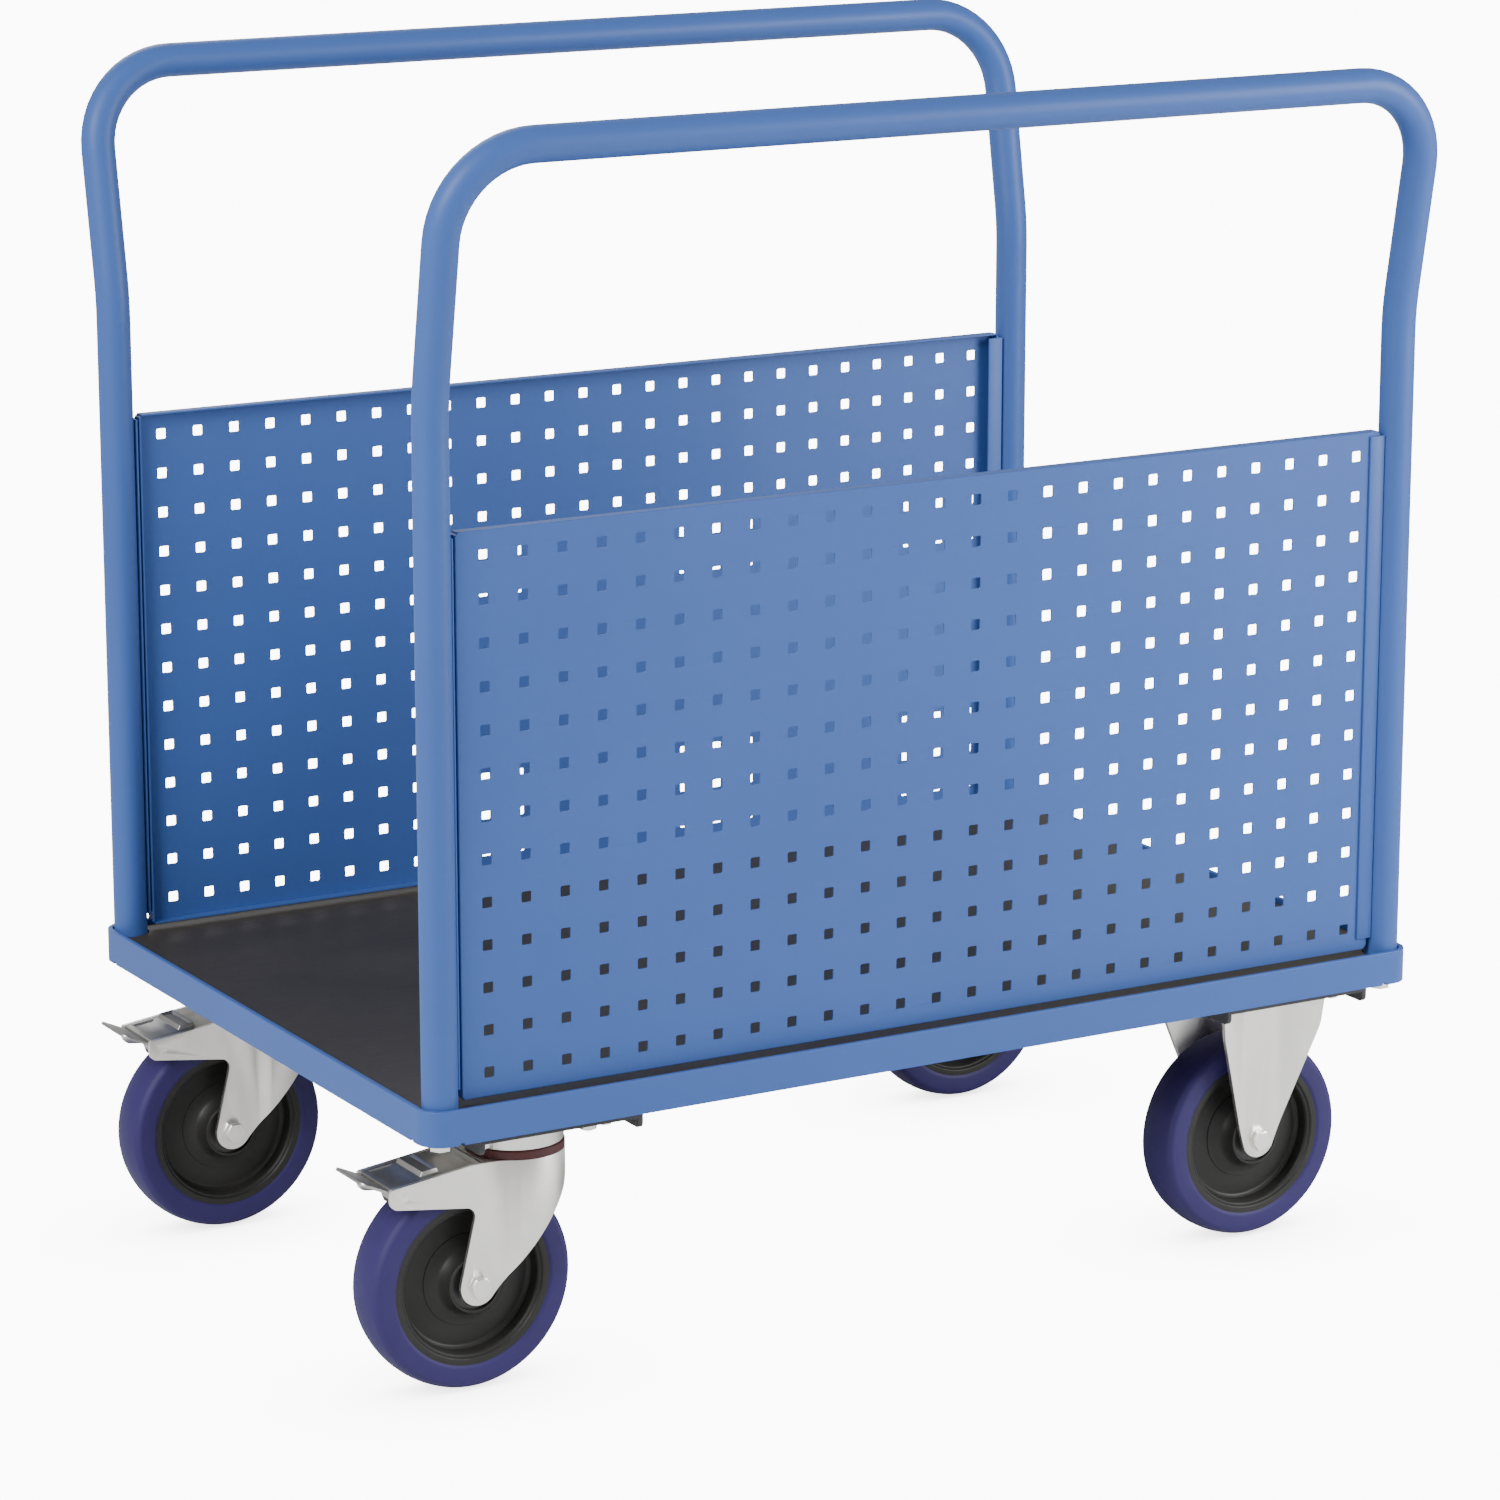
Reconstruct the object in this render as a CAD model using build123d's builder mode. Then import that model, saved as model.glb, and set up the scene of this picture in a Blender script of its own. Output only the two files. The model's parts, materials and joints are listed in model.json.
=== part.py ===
"""Flatbed platform truck with two side hoops and perforated side panels.

Frame: millimetres, +Z up, floor at z = 0. X runs along the deck, with the two braked
swivel castors at -X and the two fixed castors at +X. Y runs across the deck.
Castor pieces are drawn about the wheel's contact point and then moved to their place.
"""
from math import atan2, cos, hypot, radians, sin, sqrt, tan
import os

from build123d import *

# ---------------------------------------------------------------- driving dimensions
# deck frame and board
deck_length = 1050.0
deck_width = 706.0
skirt_height = 32.0
rim_wall = 5.0
rim_round = 1.0
flange_width = 40.0
board_thickness = 22.0
board_clearance = 0.5
board_edge = 0.5
relief_radius = 2.5
relief_from_corner = 33.0

# side hoops and their feet
tube_diameter = 32.0
tube_wall = 2.0
post_gap = 1.3
crank_height = 900.0
crank_lean = 10.0
crank_radius = 240.0
hoop_top = 1116.0
hoop_corner_radius = 80.0
plug_length = 30.0
plug_floor = 5.0
drill_over = 1.0
fit = 0.05

# perforated side panels
panel_height = 500.0
panel_lift = 6.5
panel_end_gap = 4.2
panel_sheet = 1.5
panel_flange = 11.5
panel_offset = 3.7
hole_pitch = 38.0
hole_size = 10.0
hole_round = 1.6
hole_margin = 20.0
corner_relief = 2.5

# holder rails of the panels
rail_sheet = 2.0
rail_strip = 14.0
rail_shorter = 15.0
rail_rise = 10.5
weld_gap = 0.1

# cross beams under the deck
beam_width = 160.0
beam_height = 14.0
beam_sheet = 4.0
beam_inset = 3.0
beam_corner = 6.0
beam_bolt_span = 100.0

# fasteners
bolt_diameter = 10.0
small_bolt_diameter = 8.0
small_flats_share = 1.6
flats_share = 1.7
head_share = 0.64
washer_thickness = 2.0
saucer_diameter = 22.0
saucer_height = 3.5
saucer_taper = 20
lock_nut_height = 11.5
lock_nut_hex_share = 0.7
lock_nut_collar_share = 0.94
bolt_end_out = 1.5
screw_diameter = 5.0
screw_head = 9.0
screw_head_height = 3.0
screw_head_edge = 0.8
screw_bite = 14.0
screw_place_x = 200.0
screw_place_y = 150.0

# castor heads
castor_from_end = 132.0
castor_from_side = 95.0
plate_length = 135.0
swivel_plate_width = 110.0
fixed_plate_width = 116.0
plate_thickness = 6.0
plate_corner = 10.0
bolt_span_x = 105.0
swivel_bolt_span = 80.0
fixed_bolt_span = 38.0
head_diameter = 90.0
cup_step = 1.0
cup_depth = 23.5
cup_wall = 4.0
cup_roof = 7.0
swivel_gap = 0.4
seal_height = 8.1
seal_wall = 5.5
seal_round = 1.5
race_gap = 1.0
race_width = 16.0
ball_diameter = 8.0
ball_play = 0.1
ball_count = 16
kingpin_diameter = 14.0
kingpin_head = 24.0
kingpin_head_sink = 0.5
kingpin_head_play = 0.2
kingpin_nut = 22.0
kingpin_nut_height = 9.0

# forks
trail = 54.5
fork_sheet = 4.0
tyre_to_fork = 5.5
leg_radius = 17.5
crown_blend = 30.0
crown_slope_start = -4.0
arm_reach = 85.0
arm_height = 18.0
arm_droop = 10.5
arm_heel_round = 8.0
arm_toe_round = 2.0
knee_x = -0.5
knee_drop = 40.0
knee_round = 9.0
brow_ahead = 33.5
brow_drop = 35.0
nose_drop = 16.0
nose_over = 1.0
draw_margin = 5.0
fixed_flat_half = 14.0
fixed_bend_radius = 25.0
fixed_wing_angle = 30.0
fixed_top_half = 59.0
fixed_waist_half = 55.5
fixed_waist_drop = 32.0
fixed_waist_round = 50.0

# wheels
wheel_diameter = 200.0
wheel_to_crown = 9.0
tyre_width = 49.0
tread_half = 20.3
tread_drop = 2.8
shoulder_drop = 4.0
rim_radius = 76.0
rim_width = 46.0
rim_lip = 5.5
lip_step = 2.0
lip_slope = 1.5
barrel_radius = 66.0
barrel_draft = 1.0
web_half = 6.0
web_foot = 2.0
web_cone = 3.0
web_ring_radius = 41.0
web_ring_width = 3.0
web_ring_step = 2.0
hub_radius = 26.0
hub_play = 1.5
hub_foot_width = 3.0
hub_foot_height = 5.0
hub_edge = 1.0
bearing_outer = 47.0
bearing_inner = 20.0
bearing_width = 14.0
bearing_spacing = 34.0
bearing_groove = 1.0
bearing_race = 3.5
axle_diameter = 12.0
axle_head = 18.0
axle_head_height = 7.5
axle_nut_height = 10.0
axle_end_out = 2.0
axle_end_edge = 1.0

# foot brake
pivot_behind = 70.0
pivot_drop = 9.5
pivot_diameter = 6.0
pedal_hub_radius = 6.0
pedal_sheet = 2.5
pedal_side_gap = 0.6
pedal_rise = 19.0
pedal_reach = 39.0
pedal_corner = 8.0
heel_inset = 3.0
heel_drop = 3.5
brake_travel = 16.0
pad_gap = 0.6
pad_thickness = 5.0
pad_width = 6.0
pad_edge = 4.0
cover_sheet = 2.5
cover_length = 88.0
cover_setback = 2.0
rib_height = 4.5
rib_length = 18.0
rib_lean = 2.0
rib_from_end = 32.0
rib_side_gap = 6.0
dish_depth = 1.5
dish_edge = 5.0
dish_to_rib = 3.0
leaf_sheet = 1.0
leaf_width = 16.0
leaf_length = 52.0

# ---------------------------------------------------------------- derived places
fork_inside = tyre_width / 2 + tyre_to_fork
fork_half_width = fork_inside + fork_sheet
hub_length = 2 * (fork_inside - hub_play)
castor_x = deck_length / 2 - castor_from_end
castor_y = deck_width / 2 - castor_from_side
crown_under = wheel_diameter + wheel_to_crown
crown_top = crown_under + fork_sheet
cup_bottom = crown_top + seal_height + swivel_gap
plate_bottom = cup_bottom + cup_depth
plate_top = plate_bottom + plate_thickness
skirt_bottom = plate_top + beam_sheet
deck_top = skirt_bottom + skirt_height
flange_top = skirt_bottom + rim_wall
board_top = flange_top + board_thickness
tube_radius = tube_diameter / 2
post_x = deck_length / 2 - rim_wall - post_gap - tube_radius
post_y = deck_width / 2 - rim_wall - post_gap - tube_radius
corner_radius = rim_wall + post_gap + tube_radius
beam_bottom = skirt_bottom - beam_height
cup_roof_z = plate_bottom - cup_roof
wheel_radius = wheel_diameter / 2
axle_z = wheel_radius
panel_bottom = board_top + panel_lift
panel_half = post_x - tube_radius - panel_end_gap
rail_height = panel_height - rail_shorter
pivot_x = -pivot_behind
pivot_z = crown_top - arm_droop - pivot_drop
pivot_rise = pivot_z - axle_z
pedal_slope = atan2(pedal_rise - pedal_hub_radius + heel_drop, pedal_reach - heel_inset)
pedal_tip_x = -pivot_behind - pedal_reach
cover_start = cover_setback - arm_reach
cover_inner = cover_start + cover_length
rear_reach = castor_x + trail - pedal_tip_x + pedal_sheet * sin(pedal_slope)
frame_shift = (rear_reach - deck_length / 2) / 2
head_height = head_share * bolt_diameter
head_flats = flats_share * bolt_diameter
lock_hex_height = lock_nut_hex_share * lock_nut_height

corners = [(sx, sy) for sx in (-1, 1) for sy in (-1, 1)]
posts = [(sx * post_x, sy * post_y) for sx, sy in corners]
swivel_bolts = [(sx * bolt_span_x / 2, sy * swivel_bolt_span / 2) for sx, sy in corners]
fixed_bolts = [(sx * bolt_span_x / 2, sy * fixed_bolt_span / 2) for sx, sy in corners]
beam_bolt_y = deck_width / 2 - flange_width / 2
beam_bolts = [
    (sx * castor_x + dx * beam_bolt_span / 2, sy * beam_bolt_y)
    for sx in (-1, 1) for sy in (-1, 1) for dx in (-1, 1)
]
castor_bolts = [
    (sx * castor_x + bx, sy * castor_y + by)
    for sx, pattern in ((-1, swivel_bolts), (1, fixed_bolts))
    for sy in (-1, 1) for bx, by in pattern
]
screw_line_x = deck_length / 2 - flange_width / 2
screws = [(x, sy * beam_bolt_y) for x in (-screw_place_x, 0, screw_place_x) for sy in (-1, 1)]
screws += [(sx * screw_line_x, sy * screw_place_y) for sx, sy in corners]

os.makedirs("parts", exist_ok=True)


def save(name, part):
    """Centre a finished piece's frame on the whole truck, label it and write it."""
    placed = Compound(part.moved(Location((frame_shift, 0, 0))).solids())
    placed.label = name
    export_step(placed, f"parts/{name}.step")


def tangent_point(x, z, radius, side):
    """Where the line from (x, z) touches the leg's round end, on its left or right."""
    reach = hypot(x, z - axle_z)
    turn = atan2(sqrt(reach**2 - radius**2), radius)
    angle = atan2(z - axle_z, x) + side * turn
    return radius * cos(angle), axle_z + radius * sin(angle)


# ---------------------------------------------------------------- deck
def round_rect(inset):
    """The deck outline moved in by inset, with its round corners."""
    RectangleRounded(
        deck_length - 2 * inset, deck_width - 2 * inset, corner_radius - inset
    )


with BuildPart() as deck_frame:
    with BuildSketch(Plane.XY.offset(skirt_bottom)):
        round_rect(0)
    extrude(amount=skirt_height)
    with BuildSketch(Plane.XY.offset(flange_top)):
        round_rect(rim_wall)
    extrude(amount=skirt_height, mode=Mode.SUBTRACT)
    fillet(deck_frame.edges().group_by(Axis.Z)[-1], rim_round)
    with BuildSketch(Plane.XY.offset(skirt_bottom)):
        Rectangle(deck_length - 2 * flange_width, deck_width - 2 * flange_width)
        with Locations(*posts):
            Circle(bolt_diameter / 2 + fit)
        with Locations(*beam_bolts):
            Circle(small_bolt_diameter / 2 + fit)
        with Locations(*screws):
            Circle(screw_diameter / 2 + fit)
    extrude(amount=rim_wall, mode=Mode.SUBTRACT)
    relief_x = deck_length / 2 - relief_from_corner
    relief_y = deck_width / 2 - relief_from_corner
    with BuildSketch(Plane.XZ):
        with Locations((-relief_x, skirt_bottom), (relief_x, skirt_bottom)):
            Circle(relief_radius)
    extrude(amount=deck_width, both=True, mode=Mode.SUBTRACT)
    with BuildSketch(Plane.YZ):
        with Locations((-relief_y, skirt_bottom), (relief_y, skirt_bottom)):
            Circle(relief_radius)
    extrude(amount=deck_length, both=True, mode=Mode.SUBTRACT)
save("deck_frame", deck_frame.part)

with BuildPart() as deck_board:
    with BuildSketch(Plane.XY.offset(flange_top)):
        round_rect(rim_wall + board_clearance)
        notch = tube_radius + post_gap
        with Locations(*posts):
            Circle(notch, mode=Mode.SUBTRACT)
        for x, y in posts:
            reach = corner_radius
            out_x = x + (reach if x > 0 else -reach) / 2
            out_y = y + (reach if y > 0 else -reach) / 2
            with Locations((out_x, y)):
                Rectangle(reach, 2 * notch, mode=Mode.SUBTRACT)
            with Locations((x, out_y)):
                Rectangle(2 * notch, reach, mode=Mode.SUBTRACT)
    extrude(amount=board_thickness)
    chamfer(deck_board.edges().group_by(Axis.Z)[-1], board_edge)
    with BuildSketch(Plane.XY.offset(flange_top)):
        with Locations(*screws):
            Circle(screw_diameter / 2 + fit)
    extrude(amount=screw_bite + fit, mode=Mode.SUBTRACT)
save("deck_board", deck_board.part)

with BuildPart() as board_screws:
    with BuildSketch(Plane.XY.offset(skirt_bottom)):
        with Locations(*screws):
            Circle(screw_diameter / 2)
    extrude(amount=rim_wall + screw_bite)
    with BuildSketch(Plane.XY.offset(skirt_bottom)):
        with Locations(*screws):
            Circle(screw_head / 2)
    extrude(amount=-screw_head_height)
    chamfer(board_screws.edges().group_by(Axis.Z)[0], screw_head_edge)
save("board_screws", board_screws.part)

# ---------------------------------------------------------------- cross beams
def beam_channel(x):
    """An upside-down channel across the deck at x, with its lower end corners rounded."""
    with BuildPart() as channel:
        with BuildSketch(Plane.XY.offset(beam_bottom)):
            with Locations((x, 0)):
                Rectangle(beam_width, deck_width - 2 * beam_inset)
        extrude(amount=beam_height)
        low_ends = channel.edges().filter_by(Axis.X).group_by(Axis.Z)[0]
        fillet(low_ends, beam_corner)
        with BuildSketch(Plane.XY.offset(beam_bottom)):
            with Locations((x, 0)):
                Rectangle(beam_width - 2 * beam_sheet, deck_width)
        extrude(amount=beam_height - beam_sheet, mode=Mode.SUBTRACT)
        with BuildSketch(Plane.XY.offset(plate_top)):
            with Locations(*[place for place in castor_bolts if place[0] * x > 0]):
                Circle(bolt_diameter / 2 + fit)
            with Locations(*[place for place in beam_bolts if place[0] * x > 0]):
                Circle(small_bolt_diameter / 2 + fit)
        extrude(amount=beam_sheet, mode=Mode.SUBTRACT)
    return channel.part


save("rear_cross_beam", beam_channel(-castor_x))
save("front_cross_beam", beam_channel(castor_x))

with BuildPart() as beam_bolt_set:
    with BuildSketch(Plane.XY.offset(plate_top)):
        with Locations(*beam_bolts):
            Circle(small_bolt_diameter / 2)
    extrude(amount=flange_top - plate_top)
    with BuildSketch(Plane.XY.offset(plate_top)):
        with Locations(*beam_bolts):
            RegularPolygon(small_flats_share * small_bolt_diameter / 2, 6, major_radius=False)
    extrude(amount=-head_share * small_bolt_diameter)
save("beam_bolts", beam_bolt_set.part)

# ---------------------------------------------------------------- side hoops
lean_shift = (hoop_top - crank_height) * tan(radians(crank_lean))
grip_y = -(post_y + lean_shift)
half_turn = Location((0, 0, 0), (0, 0, 180))

# One tube: two posts that lean outwards above the crank, and the grip between them.
with BuildPart() as side_hoop:
    with BuildLine():
        path = FilletPolyline(
            (-post_x, -post_y, flange_top),
            (-post_x, -post_y, crank_height),
            (-post_x, grip_y, hoop_top),
            (post_x, grip_y, hoop_top),
            (post_x, -post_y, crank_height),
            (post_x, -post_y, flange_top),
            radius=[crank_radius, hoop_corner_radius, hoop_corner_radius, crank_radius],
        )
    with BuildSketch(Plane(origin=(-post_x, -post_y, flange_top))):
        Circle(tube_radius)
        Circle(tube_radius - tube_wall, mode=Mode.SUBTRACT)
    sweep(path=path)
save("near_side_hoop", side_hoop.part)
save("far_side_hoop", side_hoop.part.moved(half_turn))

bolt_bite = plug_length - plug_floor
with BuildPart() as hoop_foot_plugs:
    with BuildSketch(Plane.XY.offset(flange_top)):
        with Locations(*posts):
            Circle(tube_radius - tube_wall - fit)
    extrude(amount=plug_length)
    with BuildSketch(Plane.XY.offset(flange_top)):
        with Locations(*posts):
            Circle(bolt_diameter / 2 + fit)
    extrude(amount=bolt_bite + drill_over, mode=Mode.SUBTRACT)
save("hoop_foot_plugs", hoop_foot_plugs.part)

with BuildPart() as hoop_foot_bolts:
    with BuildSketch(Plane.XY.offset(skirt_bottom)):
        with Locations(*posts):
            Circle(bolt_diameter / 2)
    extrude(amount=rim_wall + bolt_bite)
    with BuildSketch(Plane.XY.offset(skirt_bottom)):
        with Locations(*posts):
            Circle(bolt_diameter)
    extrude(amount=-washer_thickness)
    with BuildSketch(Plane.XY.offset(skirt_bottom - washer_thickness)):
        with Locations(*posts):
            RegularPolygon(head_flats / 2, 6, major_radius=False)
    extrude(amount=-head_height)
save("hoop_foot_bolts", hoop_foot_bolts.part)

# ---------------------------------------------------------------- panels and rails
panel_width = 2 * panel_half
hole_columns = int((panel_width - 2 * hole_margin) // hole_pitch) + 1
hole_rows = int((panel_height - 2 * hole_margin) // hole_pitch) + 1
panel_middle = panel_bottom + panel_height / 2
panel_face = post_y + panel_offset
panel_corners = [(sx * panel_half, sz * panel_height / 2) for sx, sz in corners]
face_plane = Plane(origin=(0, -panel_face, panel_middle), x_dir=(1, 0, 0), z_dir=(0, 1, 0))

# A perforated sheet with folded edges that point to the middle of the truck.
with BuildPart() as side_panel:
    with BuildSketch(face_plane):
        Rectangle(panel_width, panel_height)
        Rectangle(panel_width - 2 * panel_sheet, panel_height - 2 * panel_sheet,
                  mode=Mode.SUBTRACT)
        with Locations(*panel_corners):
            Circle(corner_relief, mode=Mode.SUBTRACT)
    extrude(amount=panel_flange)
    with BuildSketch(face_plane):
        Rectangle(panel_width, panel_height)
        with Locations(*panel_corners):
            Circle(corner_relief, mode=Mode.SUBTRACT)
        with GridLocations(hole_pitch, hole_pitch, hole_columns, hole_rows):
            RectangleRounded(hole_size, hole_size, hole_round, mode=Mode.SUBTRACT)
    extrude(amount=panel_sheet)
save("near_side_panel", side_panel.part)
save("far_side_panel", side_panel.part.moved(half_turn))

rail_web = post_x - tube_radius - weld_gap
rail_bottom = panel_bottom + rail_rise


def rail(strip_y):
    """An angle rail beside a +X post: its strip bears on the panel, its web on the tube."""
    with BuildPart() as angle:
        with BuildSketch(Plane.XY.offset(rail_bottom)):
            with BuildLine():
                Polyline(
                    (rail_web, strip_y),
                    (rail_web - rail_strip - rail_sheet, strip_y),
                    (rail_web - rail_strip - rail_sheet, strip_y + rail_sheet),
                    (rail_web - rail_sheet, strip_y + rail_sheet),
                    (rail_web - rail_sheet, strip_y + rail_strip),
                    (rail_web, strip_y + rail_strip),
                    close=True,
                )
            make_face()
        extrude(amount=rail_height)
    return angle.part


near_rail = rail(-panel_face - rail_sheet)
far_rail = rail(panel_face - panel_flange - rail_sheet)
rail_pair = Compound([near_rail, far_rail.moved(half_turn)])
save("near_panel_rails", rail_pair)
save("far_panel_rails", rail_pair.moved(half_turn))

# ---------------------------------------------------------------- castor fasteners
with BuildPart() as castor_bolt_set:
    with BuildSketch(Plane.XY.offset(skirt_bottom)):
        with Locations(*castor_bolts):
            Circle(saucer_diameter / 2)
    extrude(amount=saucer_height, taper=saucer_taper)
    bolt_end = plate_bottom - washer_thickness - lock_nut_height - bolt_end_out
    with BuildSketch(Plane.XY.offset(bolt_end)):
        with Locations(*castor_bolts):
            Circle(bolt_diameter / 2)
    extrude(amount=skirt_bottom - bolt_end)
save("castor_bolts", castor_bolt_set.part)

with BuildPart() as castor_nut_set:
    with BuildSketch(Plane.XY.offset(plate_bottom)):
        with Locations(*castor_bolts):
            Circle(bolt_diameter)
    extrude(amount=-washer_thickness)
    with BuildSketch(Plane.XY.offset(plate_bottom - washer_thickness)):
        with Locations(*castor_bolts):
            RegularPolygon(head_flats / 2, 6, major_radius=False)
    extrude(amount=-lock_hex_height)
    with BuildSketch(Plane.XY.offset(plate_bottom - washer_thickness - lock_hex_height)):
        with Locations(*castor_bolts):
            Circle(lock_nut_collar_share * head_flats / 2)
    extrude(amount=lock_hex_height - lock_nut_height)
    with BuildSketch(Plane.XY.offset(plate_bottom)):
        with Locations(*castor_bolts):
            Circle(bolt_diameter / 2 + fit)
    extrude(amount=bolt_end - plate_bottom, mode=Mode.SUBTRACT)
save("castor_lock_nuts", castor_nut_set.part)

# ---------------------------------------------------------------- swivel head
swivel_plane = Plane(origin=(trail, 0, 0))

with BuildPart() as top_plate:
    with BuildSketch(swivel_plane.offset(plate_bottom)):
        RectangleRounded(plate_length, swivel_plate_width, plate_corner)
    extrude(amount=plate_thickness)
    with BuildSketch(swivel_plane.offset(cup_bottom)):
        Circle(head_diameter / 2 - cup_step)
    extrude(amount=cup_depth)
    with BuildSketch(swivel_plane.offset(cup_bottom)):
        Circle(head_diameter / 2 - cup_step - cup_wall)
    extrude(amount=cup_depth - cup_roof, mode=Mode.SUBTRACT)
    with BuildSketch(swivel_plane.offset(plate_bottom)):
        Circle(kingpin_head / 2 + kingpin_head_play)
        with Locations(*swivel_bolts):
            Circle(bolt_diameter / 2 + fit)
    extrude(amount=plate_thickness, mode=Mode.SUBTRACT)
    with BuildSketch(swivel_plane.offset(cup_roof_z)):
        Circle(kingpin_diameter / 2 + fit)
    extrude(amount=cup_roof, mode=Mode.SUBTRACT)

race_outer = head_diameter / 2 - seal_wall - race_gap
race_inner = race_outer - race_width
race_top = cup_roof_z - ball_diameter - 2 * ball_play
with BuildPart() as swivel_race:
    with BuildSketch(swivel_plane.offset(crown_top)):
        Circle(race_outer)
        Circle(race_inner, mode=Mode.SUBTRACT)
    extrude(amount=race_top - crown_top)

ball_circle = (race_outer + race_inner) / 2
with BuildPart() as swivel_balls:
    with Locations(swivel_plane.offset(race_top + ball_play + ball_diameter / 2)):
        with PolarLocations(ball_circle, ball_count):
            Sphere(ball_diameter / 2)

with BuildPart() as swivel_seal:
    with BuildSketch(swivel_plane.offset(crown_top)):
        Circle(head_diameter / 2)
        Circle(head_diameter / 2 - seal_wall, mode=Mode.SUBTRACT)
    extrude(amount=seal_height)
    rims = swivel_seal.edges().group_by(Axis.Z)
    fillet([rims[0].sort_by(SortBy.RADIUS)[-1], rims[-1].sort_by(SortBy.RADIUS)[-1]], seal_round)

with BuildPart() as kingpin:
    with BuildSketch(swivel_plane.offset(plate_bottom)):
        Circle(kingpin_head / 2)
    extrude(amount=plate_thickness - kingpin_head_sink)
    with BuildSketch(swivel_plane.offset(crown_under - kingpin_nut_height)):
        Circle(kingpin_diameter / 2)
    extrude(amount=plate_bottom - crown_under + kingpin_nut_height)
    with BuildSketch(swivel_plane.offset(crown_under)):
        RegularPolygon(kingpin_nut / 2, 6, major_radius=False)
    extrude(amount=-kingpin_nut_height)

# ---------------------------------------------------------------- forks
arm_top_end = crown_top - arm_droop
arm_bottom_end = arm_top_end - arm_height
nose_x = trail + head_diameter / 2 + nose_over
sketch_floor = axle_z - leg_radius - draw_margin
knee = (knee_x, crown_top - knee_drop)
brow = (trail + brow_ahead, crown_top - brow_drop)


def swivel_profile():
    """Side view of the swivel fork: brake arm, crown and leaning leg with a round end."""
    leg_front = tangent_point(*brow, leg_radius, -1)
    leg_back = tangent_point(*knee, leg_radius, 1)
    with BuildSketch(Plane.XZ) as view:
        with BuildLine():
            Polyline(
                leg_back,
                knee,
                (-arm_reach, arm_bottom_end),
                (-arm_reach, arm_top_end),
                (crown_slope_start, crown_top),
                (nose_x, crown_top),
                (nose_x, crown_top - nose_drop),
                brow,
                leg_front,
            )
            ThreePointArc(leg_front, (0, axle_z - leg_radius), leg_back)
        make_face()
        heel = view.vertices().sort_by_distance((-arm_reach, arm_bottom_end))[0]
        fillet(heel, arm_heel_round)
        fillet(view.vertices().sort_by_distance(knee)[0], knee_round)
        toe = view.vertices().sort_by_distance((-arm_reach, arm_top_end))[0]
        fillet(toe, arm_toe_round)
    return view.sketch


with BuildPart() as swivel_fork:
    with BuildSketch(Plane.XY.offset(sketch_floor)) as plan:
        with Locations(((trail - arm_reach - fork_sheet) / 2, 0)):
            Rectangle(trail + arm_reach + fork_sheet, 2 * fork_half_width)
        with Locations((trail, 0)):
            Circle(head_diameter / 2)
        throat = [v for v in plan.vertices() if abs(v.X - trail) < head_diameter / 2]
        fillet(throat, crown_blend)
    extrude(amount=crown_top - sketch_floor)
    with BuildSketch(Plane.XY.offset(sketch_floor)):
        with Locations((trail - arm_reach, 0)):
            Rectangle(2 * arm_reach, 2 * fork_inside)
        with Locations((trail, 0)):
            Circle(head_diameter / 2 - fork_sheet)
    extrude(amount=crown_under - sketch_floor, mode=Mode.SUBTRACT)
    with BuildSketch(Plane.XY.offset(axle_z)):
        with Locations((cover_inner + cover_setback - arm_reach, 0)):
            Rectangle(2 * arm_reach, 2 * fork_inside)
    extrude(amount=crown_top, mode=Mode.SUBTRACT)
    extrude(swivel_profile(), amount=head_diameter, both=True, mode=Mode.INTERSECT)
    with BuildSketch(Plane.XZ):
        with Locations((0, axle_z)):
            Circle(axle_diameter / 2 + fit)
        with Locations((pivot_x, pivot_z)):
            Circle(pivot_diameter / 2 + fit)
    extrude(amount=head_diameter, both=True, mode=Mode.SUBTRACT)
    with BuildSketch(swivel_plane.offset(crown_under)):
        Circle(kingpin_diameter / 2 + fit)
    extrude(amount=fork_sheet, mode=Mode.SUBTRACT)


def fixed_profile():
    """Side view of a fixed leg, from under the plate down to its round end."""
    waist = (fixed_waist_half, plate_bottom - fixed_waist_drop)
    leg_side = tangent_point(*waist, leg_radius, -1)
    with BuildSketch(Plane.XZ) as view:
        with BuildLine():
            Polyline(
                (-leg_side[0], leg_side[1]),
                (-waist[0], waist[1]),
                (-fixed_top_half, plate_bottom),
                (fixed_top_half, plate_bottom),
                waist,
                leg_side,
            )
            ThreePointArc(leg_side, (0, axle_z - leg_radius), (-leg_side[0], leg_side[1]))
        make_face()
        sides = [v for v in view.vertices() if abs(abs(v.X) - waist[0]) < 0.1]
        fillet(sides, fixed_waist_round)
    return view.sketch


# Each leg is a flat strip between two wings that bend outwards, joined to the plate.
wing = radians(fixed_wing_angle)
wing_fold = fixed_flat_half + fixed_bend_radius * tan(wing / 2)
wing_end = fixed_top_half + fork_sheet
wing_out = (wing_end - wing_fold) * tan(wing)
leg_middle = fork_half_width - fork_sheet / 2

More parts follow.
